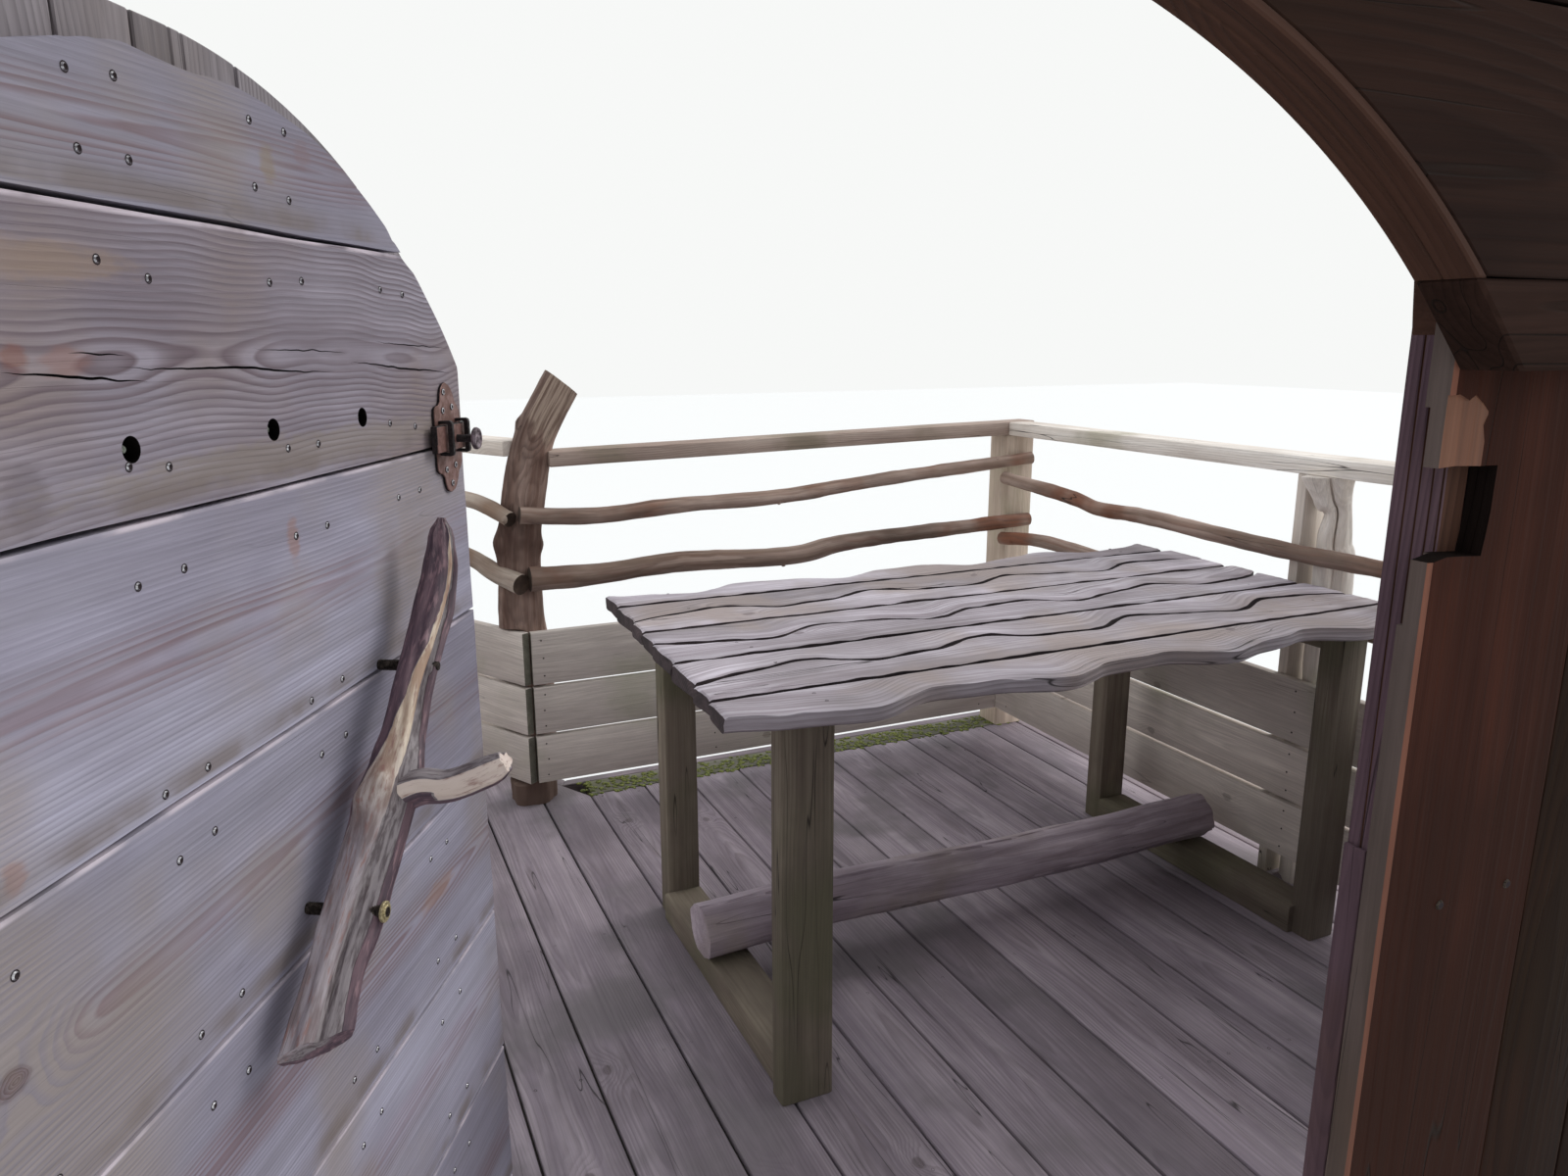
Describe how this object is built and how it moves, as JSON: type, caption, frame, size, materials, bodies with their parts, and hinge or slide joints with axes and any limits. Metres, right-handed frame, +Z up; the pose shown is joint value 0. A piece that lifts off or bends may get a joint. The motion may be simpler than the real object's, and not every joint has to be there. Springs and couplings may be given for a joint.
{
  "type": "tree house terrace with arched door",
  "caption": "Raised tree house terrace on log posts with rustic guard rails, a built-in plank table and an arched plank door that swings on strap hinges in the cabin's front wall.",
  "frame": {"origin": "middle of the footprint's bounding box, at the ground under the log posts", "axes": "+Z up, +Y from the cabin wall out over the terrace, +X to the right for someone looking out"},
  "size_m": [3.45, 3.67, 4.05],
  "materials": {
    "post_wood": "rough bark-free log, grey brown",
    "deck_wood": "weathered dark grey-brown boards",
    "moss_wood": "weathered board with moss",
    "trunk_wood": "natural trunk with knots, brown grey",
    "rail_wood": "pale weathered rail",
    "log_wood": "peeled natural log, tan brown",
    "board_wood": "beige-green weathered board",
    "wall_wood": "weathered upright boards",
    "frame_wood": "dark red-brown frame wood",
    "door_wood": "silver-grey weathered planks",
    "handle_wood": "bare branch, purple brown",
    "table_wood": "grey weathered planks",
    "leg_wood": "green-brown weathered timber",
    "iron": "dark forged iron",
    "plate_paint": "dull red-brown paint"
  },
  "bodies": {
    "terrace": {"support_posts": "post_wood", "deck_beams": "post_wood", "deck_joists": "post_wood", "knee_braces": "post_wood", "rim_boards": "deck_wood", "deck_boards": "deck_wood", "rear_edge_board": "moss_wood", "left_post": "trunk_wood", "corner_post": "leg_wood", "right_post": "rail_wood", "side_posts": "leg_wood", "rear_rail": "rail_wood", "right_rail": "rail_wood", "left_rail": "rail_wood", "landing_rail": "rail_wood", "rear_upper_log": "log_wood", "rear_lower_log": "log_wood", "right_logs": "log_wood", "left_logs": "log_wood", "landing_logs": "log_wood", "rear_guard_boards": "board_wood", "right_guard_boards": "board_wood", "left_guard_boards": "board_wood", "landing_guard_boards": "board_wood", "wall_frame": "frame_wood", "left_wall_boards": "wall_wood", "right_wall_boards": "wall_wood", "left_wall_lining": "wall_wood", "right_wall_lining": "wall_wood", "head_boards": "wall_wood", "arch_head": "frame_wood", "arch_rib": "frame_wood", "lining_battens": "frame_wood", "arch_lining_boards": "wall_wood", "corbels": "frame_wood", "door_posts": "frame_wood", "door_casings": "frame_wood", "threshold": "deck_wood", "hinge_pintles": "iron", "table_top": "table_wood", "table_legs": "leg_wood", "table_sills": "leg_wood", "table_bearers": "leg_wood", "table_footrest": "log_wood"},
    "door": {"door_planks": "door_wood", "door_outer_boards": "door_wood", "strap_hinges": "iron", "branch_handle": "handle_wood", "handle_rods": "iron", "bolt_plate": "plate_paint"},
    "bolt": {"door_bolt": "iron"}
  },
  "joints": [
    {"name": "door_hinge", "type": "hinge", "parent": "terrace", "child": "door", "pos_m": [-1.1, -1.627, 2.71], "axis": [0, 0, 1], "range_deg": [-60.7, 44.3]},
    {"name": "bolt_slide", "type": "slide", "parent": "door", "child": "bolt", "axis": [0.4894, 0.8721, 0], "range_m": [-0.018, 0.006]}
  ]
}
